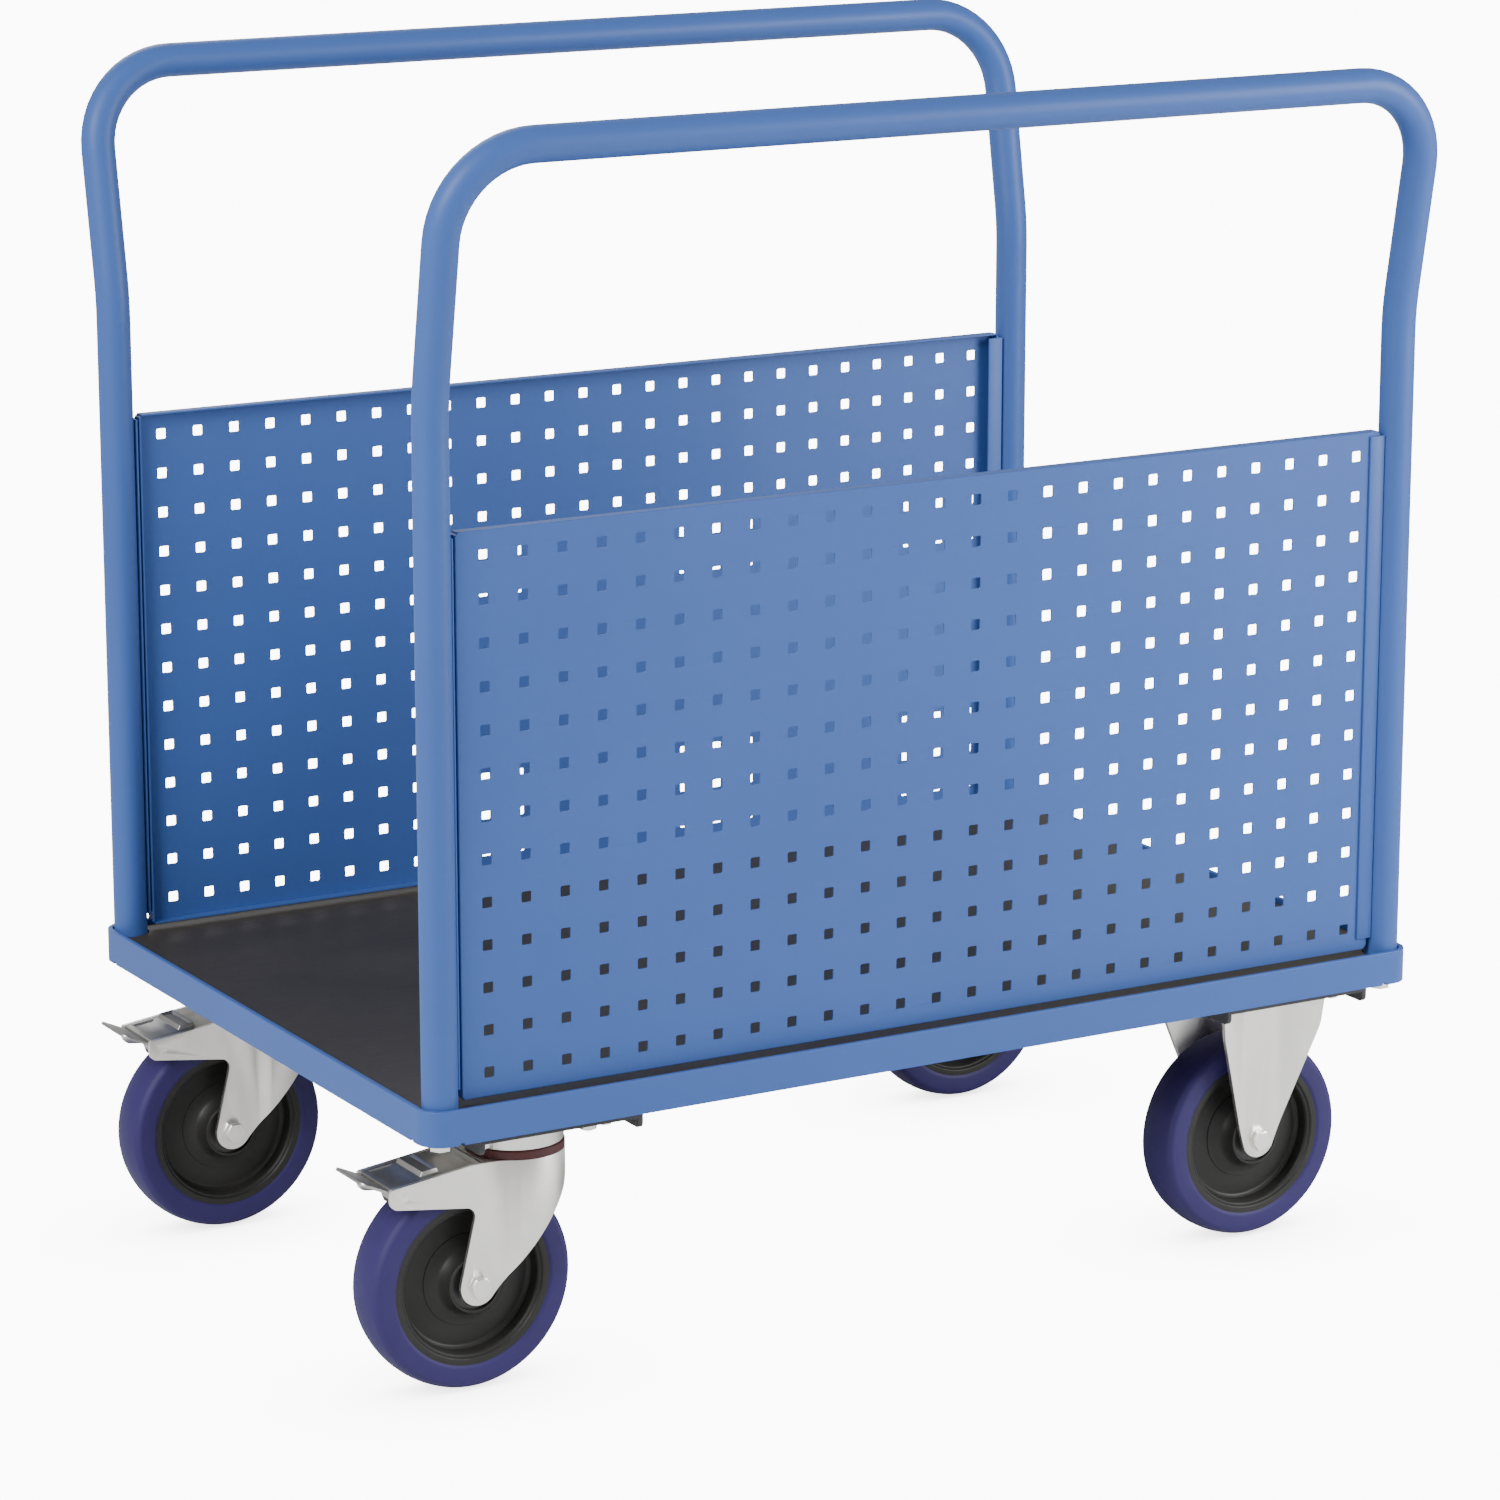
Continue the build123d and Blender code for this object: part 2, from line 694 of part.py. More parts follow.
with BuildPart() as fixed_fork:
    with BuildSketch(Plane.XY.offset(sketch_floor)):
        for side in (-1, 1):
            with BuildLine():
                FilletPolyline(
                    (-wing_end, side * (leg_middle + wing_out)),
                    (-wing_fold, side * leg_middle),
                    (wing_fold, side * leg_middle),
                    (wing_end, side * (leg_middle + wing_out)),
                    radius=fixed_bend_radius,
                )
                offset(amount=fork_sheet / 2, kind=Kind.INTERSECTION)
            make_face()
    extrude(amount=plate_bottom - sketch_floor)
    extrude(fixed_profile(), amount=fixed_plate_width, both=True, mode=Mode.INTERSECT)
    with BuildSketch(Plane.XY.offset(plate_bottom)):
        RectangleRounded(plate_length, fixed_plate_width, plate_corner)
        with Locations(*fixed_bolts):
            Circle(bolt_diameter / 2 + fit, mode=Mode.SUBTRACT)
    extrude(amount=plate_thickness)
    with BuildSketch(Plane.XZ):
        with Locations((0, axle_z)):
            Circle(axle_diameter / 2 + fit)
    extrude(amount=fixed_plate_width, both=True, mode=Mode.SUBTRACT)

# ---------------------------------------------------------------- axle
with BuildPart() as axle_bolt:
    with BuildSketch(Plane.XZ.offset(fork_half_width)):
        with Locations((0, axle_z)):
            RegularPolygon(axle_head / 2, 6, major_radius=False)
    extrude(amount=axle_head_height)
    with BuildSketch(Plane.XZ.offset(fork_half_width)):
        with Locations((0, axle_z)):
            Circle(axle_diameter / 2)
    extrude(amount=-(2 * fork_half_width + axle_nut_height + axle_end_out))
    chamfer(axle_bolt.edges().group_by(Axis.Y)[-1], axle_end_edge)

with BuildPart() as axle_nut:
    with BuildSketch(Plane.XZ.offset(-fork_half_width)):
        with Locations((0, axle_z)):
            RegularPolygon(axle_head / 2, 6, major_radius=False)
            Circle(axle_diameter / 2 + fit, mode=Mode.SUBTRACT)
    extrude(amount=-axle_nut_height)

with BuildPart() as axle_sleeve:
    with BuildSketch(Plane.XZ.offset(fork_inside)):
        with Locations((0, axle_z)):
            Circle(bearing_inner / 2 - fit)
            Circle(axle_diameter / 2 + fit, mode=Mode.SUBTRACT)
    extrude(amount=-2 * fork_inside)

# ---------------------------------------------------------------- wheel
axle_axis = Axis((0, 0, axle_z), (0, 1, 0))


def at(radius, across):
    """A point of the wheel's section, by its distance from the axle and from the middle."""
    return (across, axle_z + radius)


tread_edge = wheel_radius - tread_drop
shoulder = tread_edge - shoulder_drop
rim_half = rim_width / 2
tyre_half = tyre_width / 2

with BuildPart() as tyre:
    with BuildSketch(Plane.YZ):
        with BuildLine():
            Polyline(
                at(tread_edge, -tread_half),
                at(shoulder, -tyre_half),
                at(rim_radius, -rim_half),
                at(rim_radius, rim_half),
                at(shoulder, tyre_half),
                at(tread_edge, tread_half),
            )
            ThreePointArc(
                at(tread_edge, tread_half), at(wheel_radius, 0), at(tread_edge, -tread_half)
            )
        make_face()
    revolve(axis=axle_axis)

seat_radius = bearing_outer / 2 + fit
seat_inner = (bearing_spacing - bearing_width) / 2
with BuildPart() as rim:
    with BuildSketch(Plane.YZ):
        with BuildLine():
            Polyline(
                at(rim_radius, 0),
                at(rim_radius, rim_half),
                at(rim_radius - rim_lip, rim_half),
                at(rim_radius - rim_lip - lip_slope, rim_half - lip_step),
                at(barrel_radius + lip_slope, rim_half - lip_step),
                at(barrel_radius, rim_half - 2 * lip_step),
                at(barrel_radius - barrel_draft, web_half + web_foot),
                at(barrel_radius - barrel_draft - web_foot, web_half),
                at(web_ring_radius, web_half + web_cone),
                at(web_ring_radius - web_ring_width, web_half + web_cone + web_ring_step),
                at(hub_radius + hub_foot_width, web_half + 3 * web_cone),
                at(hub_radius, web_half + 3 * web_cone + hub_foot_height),
                at(hub_radius, hub_length / 2 - hub_edge),
                at(hub_radius - hub_edge, hub_length / 2),
                at(seat_radius, hub_length / 2),
                at(seat_radius, seat_inner),
                at(seat_radius - bearing_race, seat_inner),
                at(seat_radius - bearing_race, 0),
                close=True,
            )
        make_face()
        mirror(about=Plane.YZ)
    revolve(axis=axle_axis)

# Two ball bearings, each a single ring with its races standing proud of its shields.
with BuildPart() as bearings:
    inner, outer = bearing_inner / 2, bearing_outer / 2
    for middle in (-bearing_spacing / 2, bearing_spacing / 2):
        with BuildSketch(Plane.YZ):
            with Locations(at((inner + outer) / 2, middle)):
                Rectangle(bearing_width, outer - inner)
            with Locations(at((inner + outer) / 2, middle - bearing_width / 2),
                           at((inner + outer) / 2, middle + bearing_width / 2)):
                Rectangle(2 * bearing_groove, outer - inner - 2 * bearing_race,
                          mode=Mode.SUBTRACT)
        revolve(axis=axle_axis)

# ---------------------------------------------------------------- foot brake
cover_half = fork_inside - fit


def on_cover(x, up=0.0):
    """A point above the cover's top face, which lies level with the arms' top edges."""
    fall = max(0.0, crown_slope_start - x) * arm_droop / (arm_reach + crown_slope_start)
    return (x, crown_top - fall + up)


with BuildPart() as brake_cover:
    with BuildSketch(Plane.XZ.offset(-cover_half)):
        with BuildLine():
            Polyline(
                on_cover(cover_start),
                on_cover(crown_slope_start),
                on_cover(cover_inner),
                on_cover(cover_inner, -cover_sheet),
                on_cover(crown_slope_start, -cover_sheet),
                on_cover(cover_start, -cover_sheet),
                close=True,
            )
        make_face()
    extrude(amount=2 * cover_half)
    rib_start = cover_start + rib_from_end
    rib_end = rib_start + rib_length
    rib_half = cover_half - rib_side_gap
    with BuildSketch(Plane.XZ.offset(-rib_half)):
        with BuildLine():
            Polyline(
                on_cover(rib_start, -fit),
                on_cover(rib_start + rib_lean, rib_height),
                on_cover(rib_end - rib_lean, rib_height),
                on_cover(rib_end, -fit),
                close=True,
            )
        make_face()
    extrude(amount=2 * rib_half)
    dish_start = cover_start + dish_edge
    dish_end = rib_start - dish_to_rib
    with BuildSketch(Plane.XZ.offset(dish_edge - cover_half)):
        with BuildLine():
            Polyline(
                on_cover(dish_start, fit),
                on_cover(dish_start + 2 * dish_depth, -dish_depth),
                on_cover(dish_end - 2 * dish_depth, -dish_depth),
                on_cover(dish_end, fit),
                close=True,
            )
        make_face()
    extrude(amount=2 * (cover_half - dish_edge), mode=Mode.SUBTRACT)

with BuildPart() as pedal_spring:
    leaf_start = pivot_x - cover_setback
    leaf_end = leaf_start + leaf_length
    with BuildSketch(Plane.XZ.offset(-leaf_width / 2)):
        with BuildLine():
            Polyline(
                on_cover(leaf_start, -cover_sheet),
                on_cover(leaf_end, -cover_sheet),
                on_cover(leaf_end, -cover_sheet - leaf_sheet),
                on_cover(leaf_start, -cover_sheet - leaf_sheet),
                close=True,
            )
        make_face()
    extrude(amount=leaf_width)

with BuildPart() as pedal_pin:
    with BuildSketch(Plane.XZ.offset(fork_half_width)):
        with Locations((pivot_x, pivot_z)):
            Circle(pivot_diameter / 2)
    extrude(amount=-2 * fork_half_width)

pad_nose = hypot(pivot_behind, pivot_rise) - wheel_radius - pad_gap
pad_root = pad_nose - pad_thickness
pad_angle = atan2(-pivot_rise, pivot_behind) - radians(brake_travel)
pad_half = tread_half - pad_edge
pedal_half = fork_inside - pedal_side_gap
cam_plane = Plane(
    origin=(pivot_x, pad_half, pivot_z),
    x_dir=(cos(pad_angle), 0, sin(pad_angle)),
    z_dir=(0, -1, 0),
)

# The pad's arm stays clear of the tread until the pedal is pressed down.
with BuildPart() as brake_pedal:
    with BuildSketch(Plane.XZ.offset(-pedal_half)):
        with Locations((pivot_x, pivot_z)):
            Circle(pedal_hub_radius)
        tip_z = pivot_z + pedal_rise
        heel_x = pivot_x - heel_inset
        heel_z = pivot_z + pedal_hub_radius - heel_drop
        lift_x = pedal_sheet * sin(pedal_slope)
        lift_z = pedal_sheet * cos(pedal_slope)
        with BuildLine():
            Polyline(
                (heel_x, heel_z),
                (pedal_tip_x, tip_z),
                (pedal_tip_x - lift_x, tip_z - lift_z),
                (heel_x - lift_x, heel_z - lift_z),
                close=True,
            )
        make_face()
    extrude(amount=2 * pedal_half)
    with BuildSketch(cam_plane):
        with Locations((pad_root / 2, 0)):
            Rectangle(pad_root, pad_width)
    extrude(amount=2 * pad_half)
    tip_edges = brake_pedal.edges().filter_by(
        lambda e: abs(e.center().X - pedal_tip_x) < pedal_hub_radius
        and e.length < 2 * pedal_sheet
    )
    fillet(tip_edges, pedal_corner)
    with BuildSketch(Plane.XZ.offset(-fork_half_width)):
        with Locations((pivot_x, pivot_z)):
            Circle(pivot_diameter / 2 + fit)
    extrude(amount=2 * fork_half_width, mode=Mode.SUBTRACT)

with BuildPart() as brake_pad:
    with BuildSketch(cam_plane):
        with Locations((pad_root + pad_thickness / 2, 0)):
            Rectangle(pad_thickness, pad_width)
    extrude(amount=2 * pad_half)

# ---------------------------------------------------------------- castors in place
sides = (("near", -1), ("far", 1))
for side_name, side in sides:
    swivel_place = Location((-castor_x - trail, side * castor_y, 0))
    fixed_place = Location((castor_x, side * castor_y, 0))
    swivel_pieces = {
        "top_plate": top_plate, "swivel_race": swivel_race, "swivel_seal": swivel_seal,
        "kingpin": kingpin, "swivel_fork": swivel_fork, "axle_bolt": axle_bolt,
        "axle_nut": axle_nut, "axle_sleeve": axle_sleeve, "brake_cover": brake_cover,
        "pedal_spring": pedal_spring, "pedal_pin": pedal_pin, "brake_pedal": brake_pedal,
        "brake_pad": brake_pad, "rear_tyre": tyre, "rear_rim": rim,
        "rear_bearings": bearings,
    }
    fixed_pieces = {
        "fixed_fork": fixed_fork, "front_tyre": tyre, "front_rim": rim,
        "front_bearings": bearings,
    }
    for name, piece in swivel_pieces.items():
        save(f"{side_name}_{name}", piece.part.moved(swivel_place))
    for name, piece in fixed_pieces.items():
        save(f"{side_name}_{name}", piece.part.moved(fixed_place))


def both_sides(piece, x):
    """The same piece on the near and the far castor, as one group."""
    return Compound([
        piece.part.moved(Location((x, side * castor_y, 0))) for _, side in sides
    ])


save("swivel_balls", both_sides(swivel_balls, -castor_x - trail))
save("fixed_axle_bolts", both_sides(axle_bolt, castor_x))
save("fixed_axle_nuts", both_sides(axle_nut, castor_x))
save("fixed_axle_sleeves", both_sides(axle_sleeve, castor_x))
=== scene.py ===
# %% [markdown]
# # A flatbed platform truck, one piece at a time
#
# The truck's engineering model arrives as a fixed frame: every node already lies where it
# belongs, in metres, with the floor at z = 0. This notebook gives it its looks. Many nodes
# only need a good finish. Others are replaced by a more careful piece in the same place:
# the pressed forks and plates, the brake covers, the perforated panels and the wheels.

import json
from math import pi, radians

import bmesh
import bpy
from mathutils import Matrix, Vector


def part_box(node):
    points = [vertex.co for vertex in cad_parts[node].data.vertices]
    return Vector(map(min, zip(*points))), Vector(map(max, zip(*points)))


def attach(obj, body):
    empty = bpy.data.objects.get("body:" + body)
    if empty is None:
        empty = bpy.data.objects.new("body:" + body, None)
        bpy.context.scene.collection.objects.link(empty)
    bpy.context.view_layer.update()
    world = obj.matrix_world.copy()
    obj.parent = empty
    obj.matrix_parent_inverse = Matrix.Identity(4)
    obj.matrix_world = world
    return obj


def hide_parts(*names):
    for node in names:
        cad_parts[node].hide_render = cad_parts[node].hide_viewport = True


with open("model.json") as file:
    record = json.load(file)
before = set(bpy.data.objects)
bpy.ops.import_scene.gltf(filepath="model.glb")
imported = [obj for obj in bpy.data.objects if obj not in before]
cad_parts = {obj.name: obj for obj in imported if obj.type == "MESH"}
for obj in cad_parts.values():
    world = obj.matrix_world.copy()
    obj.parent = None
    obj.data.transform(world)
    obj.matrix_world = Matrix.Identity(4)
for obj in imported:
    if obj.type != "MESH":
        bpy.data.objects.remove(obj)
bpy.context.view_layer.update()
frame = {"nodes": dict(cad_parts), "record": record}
nodes = frame["nodes"]
MM = 0.001
SIDES = ("near", "far")
ENDS = ("rear", "front")

# %% [markdown]
# ## Small habits that keep operators safe
#
# An operator acts on everything that is selected, and loading the frame leaves its nodes
# selected. So each piece is picked alone before it is worked on, and in edit mode nothing
# is selected until a test on place or direction says so. These few helpers are the only
# ones that the rest of the notebook needs for that.


# %% Pick one piece, and pick parts of its mesh
def pick(piece):
    """Select only this piece and make it the active one."""
    bpy.ops.object.select_all(action="DESELECT")
    piece.select_set(True)
    bpy.context.view_layer.objects.active = piece
    return piece


def open_mesh(piece):
    """Enter edit mode with nothing selected."""
    pick(piece)
    bpy.ops.object.mode_set(mode="EDIT")
    bpy.ops.mesh.select_mode(type="VERT")
    bpy.ops.mesh.select_all(action="DESELECT")


def close_mesh():
    """Back to object mode."""
    bpy.ops.object.mode_set(mode="OBJECT")


SELECT_MODES = {"verts": "VERT", "edges": "EDGE", "faces": "FACE"}


def middle_of(part, kind):
    """The middle of a vertex, an edge or a face."""
    if kind == "verts":
        return part.co
    if kind == "edges":
        return (part.verts[0].co + part.verts[1].co) / 2
    return part.calc_center_median()


def choose(piece, kind, test):
    """In edit mode, select the vertices, edges or faces whose middle passes the test."""
    mesh = bmesh.from_edit_mesh(piece.data)
    bpy.ops.mesh.select_mode(type=SELECT_MODES[kind])
    for part in getattr(mesh, kind):
        part.select_set(bool(test(middle_of(part, kind), part)))
    mesh.select_flush_mode()
    bmesh.update_edit_mesh(piece.data)


# %% Name, place and round a piece
SMOOTH_ANGLE = radians(30)
EDGE_ANGLE = radians(35)


def name_new(name):
    """Name the object that an operator has just added."""
    piece = bpy.context.object
    piece.name = piece.data.name = name
    return piece


def settle(piece):
    """Put the object at the origin, unturned and unscaled, with its place in its mesh."""
    pick(piece)
    bpy.ops.object.transform_apply(location=True, rotation=True, scale=True)


def round_edges(piece, width, segments=2):
    """A small round, in millimetres, along every edge sharper than the edge angle."""
    pick(piece)
    bevel = piece.modifiers.new("edge round", "BEVEL")
    bevel.width = width * MM
    bevel.segments = segments
    bevel.limit_method = "ANGLE"
    bevel.angle_limit = EDGE_ANGLE
    bevel.harden_normals = False
    bpy.ops.object.modifier_apply(modifier=bevel.name)
    bpy.ops.object.shade_smooth_by_angle(angle=SMOOTH_ANGLE)


# %% [markdown]
# ## Camera
#
# The camera stands about five metres off and a little over the truck's height, with a long
# lens, so the four sides of the deck stay almost parallel. It looks down at the truck
# rather than being shifted, because a plain view is easier to walk round.

# %% Camera
CAMERA_PLACE = (-2.434, -4.224, 1.659)
CAMERA_DOWN, CAMERA_TURN = 13.67, -30.1
LENS, SENSOR_WIDTH = 126.5, 36
bpy.ops.object.camera_add(
    location=CAMERA_PLACE,
    rotation=(radians(90 - CAMERA_DOWN), 0, radians(CAMERA_TURN)),
)
camera = name_new("camera")
camera.data.lens = LENS
camera.data.sensor_width = SENSOR_WIDTH
bpy.context.scene.camera = camera
print("camera height in metres:", CAMERA_PLACE[2], "lens in millimetres:", LENS)

# %% [markdown]
# ## Floor and light
#
# Powder-coated goods are usually shown on plain white. So the floor and the surround look
# white to the camera, while what they send to the truck is an even, moderate light. Close
# to each wheel a little painted shadow, worked out from an occlusion test and not cast by
# the lamps, dims the floor's white to show that the truck stands on it. One large panel at
# the left makes the deck's end faces light, and a closer one at the right brightens the
# long side and the metal towards that end. A third, behind, draws the tubes' edges.


# %% White for the camera, moderate light for everything else
WHITE_LOOK = 11.0


def white_for_camera(tree, look, light, end):
    """Mix two shaders by whether the camera sees them directly."""
    rays = tree.nodes.new("ShaderNodeLightPath")
    either = tree.nodes.new("ShaderNodeMixShader")
    tree.links.new(rays.outputs["Is Camera Ray"], either.inputs["Fac"])
    tree.links.new(light.outputs[0], either.inputs[1])
    tree.links.new(look.outputs[0], either.inputs[2])
    tree.links.new(either.outputs["Shader"], end.inputs["Surface"])


# %% Floor
FLOOR_SIZE, FLOOR_DROP = 60, 0.5 * MM
FLOOR_SHADE, FLOOR_ROUGHNESS = 0.86, 0.9
SHADE_REACH, SHADE_LOOK, SHADE_SAMPLES = 0.12, 2.5, 8
bpy.ops.mesh.primitive_plane_add(size=FLOOR_SIZE, location=(0, 0, -FLOOR_DROP))
floor = name_new("floor")
settle(floor)
floor_paint = bpy.data.materials.new("floor paint")
floor_paint.use_nodes = True
tree = floor_paint.node_tree
matt = tree.nodes["Principled BSDF"]
matt.inputs["Base Color"].default_value = (FLOOR_SHADE, FLOOR_SHADE, FLOOR_SHADE, 1)
matt.inputs["Roughness"].default_value = FLOOR_ROUGHNESS
glow = tree.nodes.new("ShaderNodeEmission")
# Painted shadow: an occlusion test near the wheels lowers the floor's glow from the white
# look towards the shade look
painted_wheel_shadow = tree.nodes.new("ShaderNodeAmbientOcclusion")
painted_wheel_shadow.inputs["Distance"].default_value = SHADE_REACH
painted_wheel_shadow.samples = SHADE_SAMPLES
strength = tree.nodes.new("ShaderNodeMapRange")
strength.inputs["To Min"].default_value = SHADE_LOOK
strength.inputs["To Max"].default_value = WHITE_LOOK
tree.links.new(painted_wheel_shadow.outputs["AO"], strength.inputs["Value"])
tree.links.new(strength.outputs["Result"], glow.inputs["Strength"])
white_for_camera(tree, glow, matt, tree.nodes["Material Output"])
floor.data.materials.append(floor_paint)
print("floor size in metres:", FLOOR_SIZE)

# %% Surround
SURROUND_LIGHT = 0.5
world = bpy.context.scene.world or bpy.data.worlds.new("surround")
bpy.context.scene.world = world
world.use_nodes = True
tree = world.node_tree
soft_light = tree.nodes["Background"]
soft_light.inputs["Color"].default_value = (1, 1, 1, 1)
soft_light.inputs["Strength"].default_value = SURROUND_LIGHT
backdrop = tree.nodes.new("ShaderNodeBackground")
backdrop.inputs["Strength"].default_value = WHITE_LOOK
white_for_camera(tree, backdrop, soft_light, tree.nodes["World Output"])
print("surround light:", SURROUND_LIGHT, "white look:", WHITE_LOOK)


# %% Light panels
def light_panel(name, place, aim, size, power):
    """A square area light at a place, turned to its aim; size in metres, power in watts."""
    bpy.ops.object.light_add(type="AREA", location=place)
    panel = name_new(name)
    panel.data.shape = "SQUARE"
    panel.data.size = size
    panel.data.energy = power
    panel.rotation_euler = (Vector(aim) - Vector(place)).to_track_quat("-Z", "Y").to_euler()
    print(name, size, "m,", power, "W")


light_panel("key panel", place=(-4.4, -1.6, 3.4), aim=(0, 0, 0.5), size=2.6, power=350)
light_panel("side panel", place=(2.0, -1.9, 1.3), aim=(0.5, -0.3, 0.6), size=1.4, power=85)
light_panel("back panel", place=(0.5, 4.2, 3.6), aim=(0, 0, 0.7), size=2.6, power=90)

# %% [markdown]
# ## Shared effects as node groups
#
# Three effects return on several finishes. A mottle breaks up a colour very slightly. A
# grain is the fine relief of powder coat and moulded plastic. Streaks are the long fine
# marks that rolling leaves on sheet. Each is a node group with named inputs and gives out
# only colours and values, so every material can set its own size and strength.


# %% Build a node group from a few named parts
def new_group(name, inputs, outputs):
    """An empty shader node group with its sockets. Returns the tree and its two ends."""
    tree = bpy.data.node_groups.new(name, "ShaderNodeTree")
    for label, kind, value in inputs:
        socket = tree.interface.new_socket(name=label, in_out="INPUT", socket_type=kind)
        socket.default_value = value
    for label, kind in outputs:
        tree.interface.new_socket(name=label, in_out="OUTPUT", socket_type=kind)
    print("node group", name)
    return tree, tree.nodes.new("NodeGroupInput"), tree.nodes.new("NodeGroupOutput")


def link(tree, a, a_socket, b, b_socket):
    """Join two nodes by their sockets' names or numbers."""
    tree.links.new(a.outputs[a_socket], b.inputs[b_socket])


def math_node(tree, operation, a, b):
    """A Math node; each side is a number or a (node, socket) pair."""
    node = tree.nodes.new("ShaderNodeMath")
    node.operation = operation
    for index, side in enumerate((a, b)):
        if isinstance(side, tuple):
            link(tree, side[0], side[1], node, index)
        else:
            node.inputs[index].default_value = side
    return node


def vary_roughness(tree, start, noise, end):
    """Roughness out = Roughness in, plus or minus the noise's share of Spread."""
    centred = math_node(tree, "SUBTRACT", (noise, "Fac"), 0.5)
    scaled = math_node(tree, "MULTIPLY", (centred, 0), (start, "Spread"))
    total = math_node(tree, "ADD", (scaled, 0), (start, "Roughness"))
    link(tree, total, 0, end, "Roughness")


# %% Mottle: a colour that wanders between two shades
mottle, start, end = new_group(
    "mottle",
    [("Shade A", "NodeSocketColor", (0.5, 0.5, 0.5, 1)),
     ("Shade B", "NodeSocketColor", (0.4, 0.4, 0.4, 1)),
     ("Scale", "NodeSocketFloat", 12.0)],
    [("Color", "NodeSocketColor")],
)
place = mottle.nodes.new("ShaderNodeTexCoord")
cloud = mottle.nodes.new("ShaderNodeTexNoise")
cloud.inputs["Detail"].default_value = 4
cloud.inputs["Roughness"].default_value = 0.55
blend = mottle.nodes.new("ShaderNodeMix")
blend.data_type = "RGBA"
spread = mottle.nodes.new("ShaderNodeMapRange")
spread.inputs["From Min"].default_value = 0.35
spread.inputs["From Max"].default_value = 0.65
link(mottle, place, "Object", cloud, "Vector")
link(mottle, start, "Scale", cloud, "Scale")
link(mottle, cloud, "Fac", spread, "Value")
link(mottle, spread, "Result", blend, "Factor")
COLOUR_A, COLOUR_B, COLOUR_OUT = 6, 7, 2
link(mottle, start, "Shade A", blend, COLOUR_A)
link(mottle, start, "Shade B", blend, COLOUR_B)
link(mottle, blend, COLOUR_OUT, end, "Color")

# %% Grain: fine relief, and a roughness that goes with it
grain, start, end = new_group(
    "grain",
    [("Scale", "NodeSocketFloat", 900.0),
     ("Roughness", "NodeSocketFloat", 0.4),
     ("Spread", "NodeSocketFloat", 0.08)],
    [("Height", "NodeSocketFloat"), ("Roughness", "NodeSocketFloat")],
)
place = grain.nodes.new("ShaderNodeTexCoord")
fine = grain.nodes.new("ShaderNodeTexNoise")
fine.inputs["Detail"].default_value = 3
broad = grain.nodes.new("ShaderNodeTexNoise")
broad.inputs["Scale"].default_value = 9
broad.inputs["Detail"].default_value = 5
link(grain, place, "Object", fine, "Vector")
link(grain, place, "Object", broad, "Vector")
link(grain, start, "Scale", fine, "Scale")
link(grain, fine, "Fac", end, "Height")
vary_roughness(grain, start, broad, end)

# %% Streaks: long fine marks, stretched along one direction
streaks, start, end = new_group(
    "streaks",
    [("Stretch", "NodeSocketVector", (20.0, 20.0, 1200.0)),
     ("Roughness", "NodeSocketFloat", 0.3),
     ("Spread", "NodeSocketFloat", 0.1)],
    [("Height", "NodeSocketFloat"), ("Roughness", "NodeSocketFloat")],
)
place = streaks.nodes.new("ShaderNodeTexCoord")
stretch = streaks.nodes.new("ShaderNodeVectorMath")
stretch.operation = "MULTIPLY"
lines = streaks.nodes.new("ShaderNodeTexNoise")
lines.inputs["Scale"].default_value = 1
lines.inputs["Detail"].default_value = 3
link(streaks, place, "Object", stretch, 0)
link(streaks, start, "Stretch", stretch, 1)
link(streaks, stretch, "Vector", lines, "Vector")
link(streaks, lines, "Fac", end, "Height")
vary_roughness(streaks, start, lines, end)

# %% [markdown]
# ## Finishes
#
# The tubes, panels and deck frame are powder-coated blue, the board has a dark film, the
# castors are zinc plated, and the wheels are indigo rubber on black polyamide. Every finish
# is a Principled shader fed by the groups above: two close shades for its colour, a relief
# for its bump and a roughness that varies with it. What is the same all over, such as how
# metallic it is, is set on the shader's own sockets.


# %% One recipe for all finishes
RELIEF_DEPTH = 0.1 * MM


def group_in(tree, group):
    """Place a node group in a material's tree."""
    node = tree.nodes.new("ShaderNodeGroup")
    node.node_tree = group
    return node


def finish(name, shade_a, shade_b, relief, roughness, spread, bump, mottle_scale=12.0,
           grain_scale=900.0, stretch=None, **sockets):
    """A material from two shades and a relief group; other sockets are set directly."""
    material = bpy.data.materials.new(name)
    material.use_nodes = True
    tree = material.node_tree
    shader = tree.nodes["Principled BSDF"]
    colour = group_in(tree, mottle)
    colour.inputs["Shade A"].default_value = (*shade_a, 1)
    colour.inputs["Shade B"].default_value = (*shade_b, 1)
    colour.inputs["Scale"].default_value = mottle_scale
    surface = group_in(tree, relief)
    surface.inputs["Roughness"].default_value = roughness
    surface.inputs["Spread"].default_value = spread
    if stretch is None:
        surface.inputs["Scale"].default_value = grain_scale
    else:
        surface.inputs["Stretch"].default_value = stretch
    relief_bump = tree.nodes.new("ShaderNodeBump")
    relief_bump.inputs["Strength"].default_value = bump
    relief_bump.inputs["Distance"].default_value = RELIEF_DEPTH
    link(tree, colour, "Color", shader, "Base Color")
    link(tree, surface, "Roughness", shader, "Roughness")
    link(tree, surface, "Height", relief_bump, "Height")
    link(tree, relief_bump, "Normal", shader, "Normal")
    for socket, value in sockets.items():
        shader.inputs[socket.replace("_", " ")].default_value = value
    print("finish:", name)
    return material


